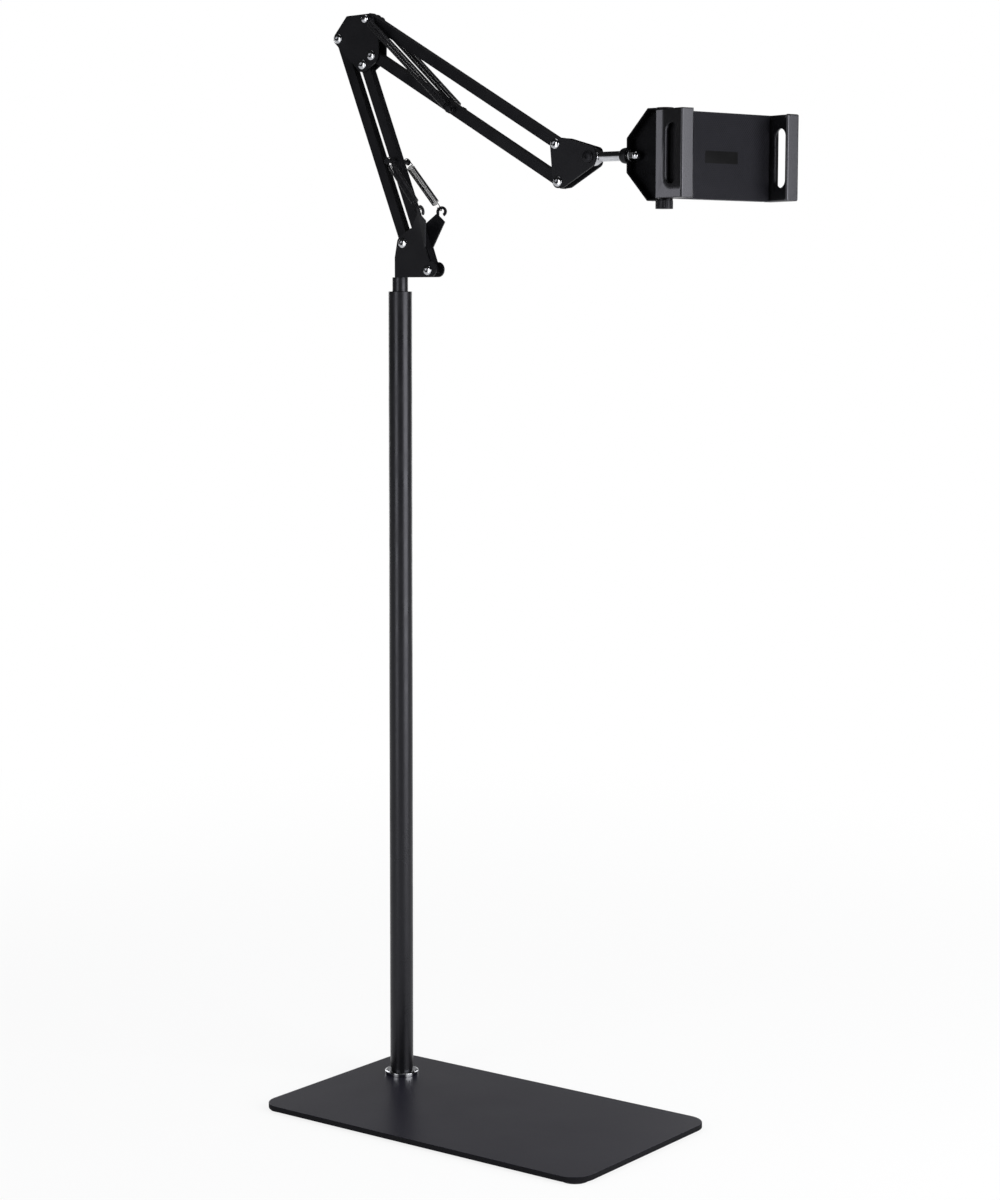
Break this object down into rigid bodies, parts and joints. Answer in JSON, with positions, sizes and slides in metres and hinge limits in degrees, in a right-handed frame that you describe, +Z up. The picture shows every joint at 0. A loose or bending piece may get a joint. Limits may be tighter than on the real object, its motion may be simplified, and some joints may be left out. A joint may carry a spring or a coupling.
{
  "type": "tablet floor stand",
  "caption": "Floor stand for a tablet: heavy flat base plate, straight pole, sprung two-section parallel arm, tilting rod and a swivelling spring clamp with a sliding jaw.",
  "frame": {"origin": "on the floor, on the axis of the pole", "axes": "+Z up along the pole, +X along the base plate's length and the arm, towards the clamp, +Y to the left seen along +X, the side to which the clamp reaches"},
  "size_m": [0.5239, 0.3347, 1.2223],
  "materials": {
    "black_paint": "satin black powder coat",
    "spring_wire": "black coated spring wire",
    "chrome": "bright chrome plate",
    "zinc": "zinc-plated steel",
    "black_plastic": "matte black moulded plastic",
    "grey_plastic": "satin dark grey moulded plastic",
    "rubber": "charcoal ribbed rubber",
    "nylon": "black nylon"
  },
  "bodies": {
    "base": {"base_plate": "black_paint", "base_feet": "rubber", "pole_bolt": "zinc", "pole_insert": "zinc", "pole_ring": "chrome", "pole_tube": "black_paint", "pole_bush": "black_plastic"},
    "arm_mount": {"arm_spigot": "black_paint", "bracket_plate_near": "black_paint", "bracket_plate_far": "black_paint", "bracket_screws": "chrome", "bracket_nuts": "zinc", "bracket_washers": "nylon", "lower_spring_near": "spring_wire", "lower_spring_far": "spring_wire"},
    "lower_rear": {"lower_rear_tube": "black_paint"},
    "lower_front": {"lower_front_tube": "black_paint", "lower_spring_pin": "black_paint"},
    "elbow": {"elbow_plate_near": "black_paint", "elbow_plate_far": "black_paint", "elbow_screws": "chrome", "elbow_nuts": "zinc", "elbow_washers": "nylon", "spring_anchor_bolt": "chrome", "upper_spring_near": "spring_wire", "upper_spring_far": "spring_wire"},
    "upper_top": {"upper_top_tube": "black_paint"},
    "upper_low": {"upper_low_tube": "black_paint", "upper_spring_pin": "black_paint"},
    "wrist": {"wrist_plate_near": "black_paint", "wrist_plate_far": "black_paint", "wrist_screws": "chrome", "wrist_nuts": "zinc", "wrist_washers": "nylon", "tilt_bolt": "black_paint", "tilt_nut": "zinc", "tilt_washers": "rubber"},
    "rod": {"eye_rod": "chrome", "rod_collar": "black_plastic", "rod_washer": "zinc", "rod_cap_nut": "chrome"},
    "yoke": {"yoke": "black_paint", "swing_pin": "zinc"},
    "knob": {"swing_knob": "black_plastic"},
    "clamp": {"clamp_frame": "grey_plastic", "clamp_back_cover": "black_plastic", "grip_pad": "rubber", "case_screws": "zinc", "jaw_springs": "zinc"},
    "jaw": {"sliding_jaw": "grey_plastic", "slide_plate": "zinc", "slide_screws": "zinc"}
  },
  "joints": [
    {"name": "arm_swivel", "type": "hinge", "parent": "base", "child": "arm_mount", "pos_m": [0, 0, 0.9278], "axis": [0, 0, 1], "continuous": true},
    {"name": "lower_arm_fold", "type": "hinge", "parent": "arm_mount", "child": "lower_rear", "pos_m": [0.0104, 0, 0.9657], "axis": [0, 1, 0], "range_deg": [-12, 60]},
    {"name": "lower_front_follow", "type": "hinge", "parent": "arm_mount", "child": "lower_front", "pos_m": [0.0458, 0, 0.9352], "axis": [0, 1, 0], "range_deg": [-12, 60], "deforming": ["lower_spring_near", "lower_spring_far"]},
    {"name": "elbow_follow", "type": "hinge", "parent": "lower_rear", "child": "elbow", "pos_m": [-0.08265, 0, 1.19601], "axis": [0, 1, 0], "range_deg": [-60, 12]},
    {"name": "upper_arm_fold", "type": "hinge", "parent": "elbow", "child": "upper_top", "pos_m": [-0.03805, 0, 1.21481], "axis": [0, 1, 0], "range_deg": [-50, 15]},
    {"name": "upper_low_follow", "type": "hinge", "parent": "elbow", "child": "upper_low", "pos_m": [-0.03435, 0, 1.17491], "axis": [0, 1, 0], "range_deg": [-50, 15], "deforming": ["upper_spring_near", "upper_spring_far"]},
    {"name": "wrist_follow", "type": "hinge", "parent": "upper_top", "child": "wrist", "pos_m": [0.21941, 0, 1.06796], "axis": [0, 1, 0], "range_deg": [-15, 50]},
    {"name": "wrist_tilt", "type": "hinge", "parent": "wrist", "child": "rod", "pos_m": [0.26211, 0, 1.05296], "axis": [0, 1, 0], "range_deg": [-45, 45]},
    {"name": "yoke_roll", "type": "hinge", "parent": "rod", "child": "yoke", "pos_m": [0.30851, 0, 1.05296], "axis": [1, 0, 0], "continuous": true},
    {"name": "clamp_swing", "type": "hinge", "parent": "yoke", "child": "clamp", "pos_m": [0.35361, 0, 1.05296], "axis": [0, 0, 1], "range_deg": [-75, 35]},
    {"name": "knob_turn", "type": "hinge", "parent": "yoke", "child": "knob", "pos_m": [0.35361, 0, 1.00296], "axis": [0, 0, 1], "continuous": true},
    {"name": "jaw_slide", "type": "slide", "parent": "clamp", "child": "jaw", "axis": [0.2823, 0.9593, 0], "range_m": [0, 0.065], "stiffness_N_per_m": 150, "springref_m": -0.03, "deforming": ["jaw_springs"]}
  ],
  "couplings": [
    {"joint": "lower_front_follow", "follows": "lower_arm_fold", "ratio": 1},
    {"joint": "elbow_follow", "follows": "lower_arm_fold", "ratio": -1},
    {"joint": "upper_low_follow", "follows": "upper_arm_fold", "ratio": 1},
    {"joint": "wrist_follow", "follows": "upper_arm_fold", "ratio": -1}
  ]
}
